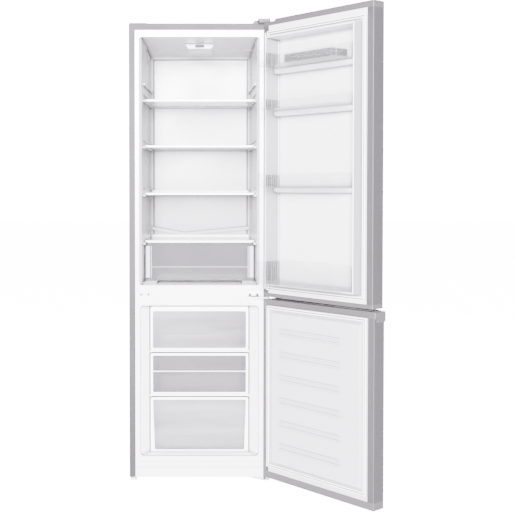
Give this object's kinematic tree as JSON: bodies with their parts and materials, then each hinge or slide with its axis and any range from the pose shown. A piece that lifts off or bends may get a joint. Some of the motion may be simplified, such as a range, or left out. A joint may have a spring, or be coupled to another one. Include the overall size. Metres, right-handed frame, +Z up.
{
  "type": "refrigerator",
  "caption": "Tall free-standing refrigerator over a drawer freezer, both doors hinged on the right and standing open, with glass shelves, clear drawers and door bins.",
  "frame": {"origin": "on the floor, under the centre of the cabinet's plan, which is 550 mm wide and 500 mm deep", "axes": "+Z up, -Y out of the cabinet's front, +X towards the hinged side, on the right seen from the front"},
  "size_m": [0.9331, 0.9707, 1.8115],
  "materials": {
    "painted_silver": "satin metallic lacquer",
    "white_liner": "moulded, semi-gloss",
    "white_metal": "white enamel",
    "grey_plastic": "fine texture",
    "dark_plastic": "fine texture",
    "black_plastic": "matt",
    "clear_plastic": "clear polystyrene",
    "shelf_glass": "toughened, clear",
    "foam": "rigid insulating foam",
    "zinc_steel": "zinc plated",
    "black_enamel": "black enamel",
    "copper_pipe": "bare copper",
    "black_rubber": "matt",
    "seal_white": "soft, matt"
  },
  "bodies": {
    "cabinet": {"cabinet_shell": "painted_silver", "fridge_liner": "white_liner", "freezer_liner": "white_liner", "mullion_strip": "white_liner", "kick_panel": "white_liner", "control_housing": "white_liner", "freezer_plates": "white_metal", "middle_hinge": "white_metal", "blanking_caps": "grey_plastic", "top_hinge_cover": "dark_plastic", "drain_hose": "dark_plastic", "relay_box": "black_plastic", "evaporation_tray": "black_plastic", "mains_inlet": "black_plastic", "lamp_lens": "clear_plastic", "cabinet_foam": "foam", "back_panel": "zinc_steel", "base_plate": "zinc_steel", "compressor_tray": "zinc_steel", "top_hinge": "zinc_steel", "bottom_hinge": "zinc_steel", "hinge_screws": "zinc_steel", "compressor": "black_enamel", "condenser": "black_enamel", "refrigerant_pipes": "copper_pipe", "compressor_mounts": "black_rubber"},
    "upper_door": {"upper_door_skin": "painted_silver", "upper_door_foam": "foam", "upper_door_liner": "white_liner", "upper_door_seal": "seal_white", "upper_door_top_cap": "grey_plastic", "upper_door_bottom_cap": "grey_plastic"},
    "lower_door": {"lower_door_skin": "painted_silver", "lower_door_foam": "foam", "lower_door_liner": "white_liner", "lower_door_seal": "seal_white", "lower_door_top_cap": "grey_plastic", "lower_door_bottom_cap": "grey_plastic"},
    "top_shelf": {"top_shelf_glass": "shelf_glass", "top_shelf_trim": "white_liner"},
    "middle_shelf": {"middle_shelf_glass": "shelf_glass", "middle_shelf_trim": "white_liner"},
    "lower_shelf": {"lower_shelf_glass": "shelf_glass", "lower_shelf_trim": "white_liner"},
    "crisper_cover": {"crisper_cover_glass": "shelf_glass", "crisper_cover_trim": "white_liner"},
    "crisper_drawer": {"crisper_drawer": "clear_plastic"},
    "upper_freezer_drawer": {"upper_freezer_drawer": "clear_plastic"},
    "middle_freezer_drawer": {"middle_freezer_drawer": "clear_plastic"},
    "lower_freezer_drawer": {"lower_freezer_drawer": "clear_plastic"},
    "top_door_bin": {"top_door_bin": "clear_plastic"},
    "middle_door_bin": {"middle_door_bin": "clear_plastic"},
    "lower_door_bin": {"lower_door_bin": "clear_plastic"},
    "bottle_bin": {"bottle_bin": "clear_plastic"},
    "egg_tray": {"egg_tray": "clear_plastic"},
    "thermostat_wheel": {"thermostat_wheel": "grey_plastic"},
    "left_foot": {"left_foot": "white_liner"},
    "right_foot": {"right_foot": "white_liner"},
    "left_roller": {"left_roller": "black_plastic"},
    "right_roller": {"right_roller": "black_plastic"}
  },
  "joints": [
    {"name": "upper_door_hinge", "type": "hinge", "parent": "cabinet", "child": "upper_door", "pos_m": [0.2655, -0.2735, 1.27], "axis": [0, 0, 1], "range_deg": [-130, 0]},
    {"name": "lower_door_hinge", "type": "hinge", "parent": "cabinet", "child": "lower_door", "pos_m": [0.2655, -0.2735, 0.38], "axis": [0, 0, 1], "range_deg": [-131, 0]},
    {"name": "top_shelf_slide", "type": "slide", "parent": "cabinet", "child": "top_shelf", "axis": [0, -1, 0], "range_m": [0, 0.29]},
    {"name": "middle_shelf_slide", "type": "slide", "parent": "cabinet", "child": "middle_shelf", "axis": [0, -1, 0], "range_m": [0, 0.29]},
    {"name": "lower_shelf_slide", "type": "slide", "parent": "cabinet", "child": "lower_shelf", "axis": [0, -1, 0], "range_m": [0, 0.29]},
    {"name": "crisper_cover_slide", "type": "slide", "parent": "cabinet", "child": "crisper_cover", "axis": [0, -1, 0], "range_m": [0, 0.29]},
    {"name": "crisper_drawer_slide", "type": "slide", "parent": "cabinet", "child": "crisper_drawer", "axis": [0, -1, 0], "range_m": [0, 0.28]},
    {"name": "upper_freezer_drawer_slide", "type": "slide", "parent": "cabinet", "child": "upper_freezer_drawer", "axis": [0, -1, 0], "range_m": [0, 0.34]},
    {"name": "middle_freezer_drawer_slide", "type": "slide", "parent": "cabinet", "child": "middle_freezer_drawer", "axis": [0, -1, 0], "range_m": [0, 0.34]},
    {"name": "lower_freezer_drawer_slide", "type": "slide", "parent": "cabinet", "child": "lower_freezer_drawer", "axis": [0, -1, 0], "range_m": [0, 0.215]},
    {"name": "top_door_bin_lift", "type": "slide", "parent": "upper_door", "child": "top_door_bin", "axis": [0, 0, 1], "range_m": [0, 0.03]},
    {"name": "middle_door_bin_lift", "type": "slide", "parent": "upper_door", "child": "middle_door_bin", "axis": [0, 0, 1], "range_m": [0, 0.03]},
    {"name": "lower_door_bin_lift", "type": "slide", "parent": "upper_door", "child": "lower_door_bin", "axis": [0, 0, 1], "range_m": [0, 0.03]},
    {"name": "bottle_bin_lift", "type": "slide", "parent": "upper_door", "child": "bottle_bin", "axis": [0, 0, 1], "range_m": [0, 0.03]},
    {"name": "egg_tray_lift", "type": "slide", "parent": "top_door_bin", "child": "egg_tray", "axis": [0, 0, 1], "range_m": [0, 0.04]},
    {"name": "thermostat_turn", "type": "hinge", "parent": "cabinet", "child": "thermostat_wheel", "pos_m": [0, -0.083, 1.73328], "axis": [0, 0, 1], "range_deg": [0, 300]},
    {"name": "left_foot_height", "type": "slide", "parent": "cabinet", "child": "left_foot", "axis": [0, 0, 1], "range_m": [-0.01, 0.006]},
    {"name": "right_foot_height", "type": "slide", "parent": "cabinet", "child": "right_foot", "axis": [0, 0, 1], "range_m": [-0.01, 0.006]},
    {"name": "left_roller_spin", "type": "hinge", "parent": "cabinet", "child": "left_roller", "pos_m": [-0.225, 0.22, 0.015], "axis": [1, 0, 0], "continuous": true},
    {"name": "right_roller_spin", "type": "hinge", "parent": "cabinet", "child": "right_roller", "pos_m": [0.225, 0.22, 0.015], "axis": [1, 0, 0], "continuous": true}
  ]
}
